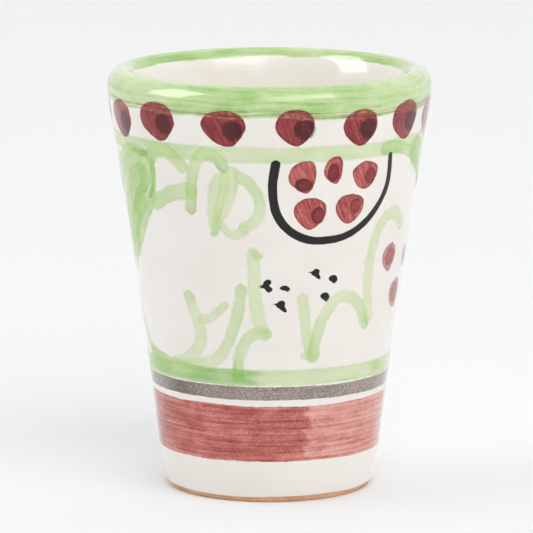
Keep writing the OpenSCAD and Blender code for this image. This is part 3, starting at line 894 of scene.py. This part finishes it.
# ---- The row of dots, and the lip's green over their tops ----
# Dots: angle, height, width, height of the dot. Those at the back vary by chance
DOTS = [(-67, 58.5, 7.2, 6.1), (-44, 59.2, 7.6, 6.2), (-16.5, 58.9, 7.3, 5.8), (9, 59.1, 6.4, 5.8),
        (34, 58.6, 6.6, 6.0), (57, 58.8, 7.2, 6.3), (80, 58.2, 7.6, 6.3)]
DOTS += [(angle, 58.8 + rng.uniform(-0.3, 0.3), rng.uniform(6.5, 7.4), rng.uniform(5.8, 6.3))
         for angle in (104, 127, 151, 175, 198, 222, 245, 269)]
dots, dot_dabs = Paint(), Paint()
for angle, z, width, height in DOTS:
    dots.coat(2)
    dot_dabs.coat(4)
    dots.dab(angle, z, width, height, rng.uniform(-6, 4), load=0.5)
    dot_dabs.dab(angle + 3.3, z - 0.3, 3.9, 3.8, rng.uniform(-20, 20), load=0.45, shape=ROUND)
dots.piece("rim_dots", red, "dot_row", "red_paint")
dot_dabs.piece("rim_dot_dabs", dark_red, "dot_dabs", "dark_red_paint")


def lip_section(start_z, end_turn, out):
    """(radius, height) from start_z on the outer wall, over the lip, to end_turn inside it."""
    pts = [(wall_r(z) + out, z) for z in spread(start_z, LIP_Z, 18)]
    return pts + [lip_pt(t, out) for t in spread(0, end_turn, 34)[1:]]


def waves(angle, phases, size, lobes):
    """A wave round the cup, with each of the numbers of lobes in turn at its phase."""
    a = math.radians(angle)
    return size * sum(math.sin(q * a + ph) for q, ph in zip(lobes, phases))


def lip_load(angle, s):
    """The lip's green is thickest inside it and in front, s millimetres up from its lower edge."""
    crown = smooth(s, 3.0, 6.0)
    inside = smooth(s, 6.2, 7.4)
    over = second_coat(angle, -58, 22, 14)
    patchy = waves(angle, (0.5, 2.0, 4.0), 1.0, (2, 3, 7))
    return 0.25 - 0.01 * crown + 0.13 * inside + 0.08 * over + 0.05 * patchy


LEAST_STAIN = 0.34  # on the lip's lower edge between the dots
NEAR_STAIN = 0.45  # just beside a dot


def stain(angle, z):
    """How much red the lip brush dragged out of the dots' tops: 1 over a dot, little between dots."""
    most = LEAST_STAIN
    for dot, middle, width, height in DOTS:
        off = (angle - dot + 180) % 360 - 180
        if abs(off) < 20:
            x = abs(off) * math.radians(wall_r(z)) / (width / 2)
            y = abs(z - middle - 0.15) / (height / 2 - 0.15)
            over = 1 - smooth((x ** 2.3 + y ** 2.3) ** (1 / 2.3), 0.86, 1.06)
            beside = NEAR_STAIN * (1 - smooth(x, 1.0, 1.5)) * (1 - smooth(z, 61.4, 62.4))
            most = max(most, over, beside)
    return most if most > LEAST_STAIN else most * (1 - smooth(z, 60.8, 61.8))


def lip_band():
    """The green coat over the lip, from the tops of the dots to just inside the well."""
    paint = Paint(7)
    start = band_z("rim_band")[0] + 0.3
    phases = random_phases(5)
    tops, unders = [], []
    for i in range(BAND_TURNS):
        angle = 360 * i / BAND_TURNS - 180
        a = math.radians(angle)
        low = start + waves(angle, phases, 0.1, (1, 3, 5, 9, 14)) - 0.35 * math.sin(a)
        inner = 120 + waves(angle, phases, 0.7, (2, 3, 5, 9, 13))
        top = lip_section(low, inner, paint.out)
        under = lip_section(low, inner, -SUNK)
        runs = [0.0]
        for (r0, z0), (r1, z1) in zip(top, top[1:]):
            runs.append(runs[-1] + math.hypot(r1 - r0, z1 - z0))
        marks = [((r * math.sin(a), s, r * math.cos(a)), min(s, runs[-1] - s),
                  lip_load(angle, s), stain(angle, z)) for (r, z), s in zip(top, runs)]
        for rows, section in ((tops, top), (unders, under)):
            rows.append([(angle, r, z, mark) for (r, z), mark in zip(section, marks)][::-1])
    stains = []
    for row in tops + unders:
        for angle, r, z, (brush, edge, load, brown) in row:
            paint.add(at(angle, r + wobble(angle, z), z), brush, edge, load)
            stains.append(brown)
    paint.join(0, BAND_TURNS, len(tops[0]), closed_along=True)
    paint.piece("lip_green_coat", lip_green, "rim_band", "green_paint", stain=stains)


lip_band()

# ---- Camera, floor and light ----
CAMERA_TILT = 9.98  # degrees down
CAMERA_REACH = 0.8  # metres from the point it looks at
CAMERA_LENS = 349.3
LOOK_X, LOOK_Z = -0.00043, 0.03386
LAMP_AIM = Vector((0, 0, 0.035))
tilt = math.radians(CAMERA_TILT)
camera_data = bpy.data.cameras.new("camera")
camera_data.lens = CAMERA_LENS
camera_data.sensor_width = 36
camera_data.clip_end = 20
camera = bpy.data.objects.new("camera", camera_data)
camera.location = (LOOK_X, -CAMERA_REACH * math.cos(tilt), LOOK_Z + CAMERA_REACH * math.sin(tilt))
camera.rotation_euler = (math.pi / 2 - tilt, 0, 0)
bpy.context.scene.collection.objects.link(camera)
bpy.context.scene.camera = camera


def soft_box(name, azimuth, elevation, distance, width, height, radiance, colour):
    """A rectangular lamp that faces the cup from an azimuth and elevation in degrees, and from a
    distance in metres."""
    lamp = bpy.data.lights.new(name, "AREA")
    lamp.shape = "RECTANGLE"
    lamp.size, lamp.size_y = width, height
    lamp.energy = radiance * math.pi * width * height
    lamp.color = colour
    box = bpy.data.objects.new(name, lamp)
    a, e = math.radians(azimuth), math.radians(elevation)
    away = Vector((math.sin(a) * math.cos(e), -math.cos(a) * math.cos(e), math.sin(e)))
    box.location = LAMP_AIM + away * distance
    box.rotation_euler = away.to_track_quat("Z", "Y").to_euler()
    bpy.context.scene.collection.objects.link(box)
    return box


# Name, azimuth, elevation, distance, width, height, radiance, colour
soft_box("key_box", 28, 46, 3.3, 3.0, 2.85, 1.95, (1.0, 0.995, 0.985))
soft_box("side_box", -84, 34, 3.0, 1.9, 2.4, 1.0, (0.97, 0.985, 1.0))
# What shows of the lamps in the gloss, brighter than what they light
for name, azimuth, elevation, width, height, radiance in (
        ("key_glint", 29, 43, 2.2, 1.4, 3.8), ("side_glint", -83, 36, 1.7, 2.2, 7.0)):
    glint = soft_box(name, azimuth, elevation, 3.2, width, height, radiance, (1.0, 1.0, 1.0))
    glint.visible_diffuse = False

# The room is white: bright behind the cup, dimmer on the camera's side
world = bpy.data.worlds.new("white_room")
world.use_nodes = True
room = world.node_tree
toward = room.nodes.new("ShaderNodeTexCoord")
split = room.nodes.new("ShaderNodeSeparateXYZ")
fade = room.nodes.new("ShaderNodeMapRange")
fade.interpolation_type = "SMOOTHSTEP"
for key, number in (("From Min", -0.7), ("From Max", 0.6), ("To Min", 0.4), ("To Max", 0.966)):
    fade.inputs[key].default_value = number
room.links.new(toward.outputs["Generated"], split.inputs[0])
room.links.new(split.outputs["Y"], fade.inputs["Value"])
room.links.new(fade.outputs["Result"], room.nodes["Background"].inputs["Strength"])
room.nodes["Background"].inputs["Color"].default_value = (1.0, 1.0, 1.0, 1)
bpy.context.scene.world = world
bpy.context.scene.view_settings.view_transform = "Standard"

floor_half = 6.0
floor_mesh = bpy.data.meshes.new("floor")
floor_mesh.from_pydata([(-floor_half, -floor_half, 0), (floor_half, -floor_half, 0),
                        (floor_half, floor_half, 0), (-floor_half, floor_half, 0)], [], [(0, 1, 2, 3)])
floor = bpy.data.objects.new("floor", floor_mesh)
bpy.context.scene.collection.objects.link(floor)
floor_look = Nodes("pale_paper")
floor_look.bsdf.inputs["Base Color"].default_value = (0.905, 0.908, 0.912, 1)
floor_look.bsdf.inputs["Roughness"].default_value = 0.9
floor_look.bsdf.inputs["Specular IOR Level"].default_value = 0.1
floor.data.materials.append(floor_look.material)
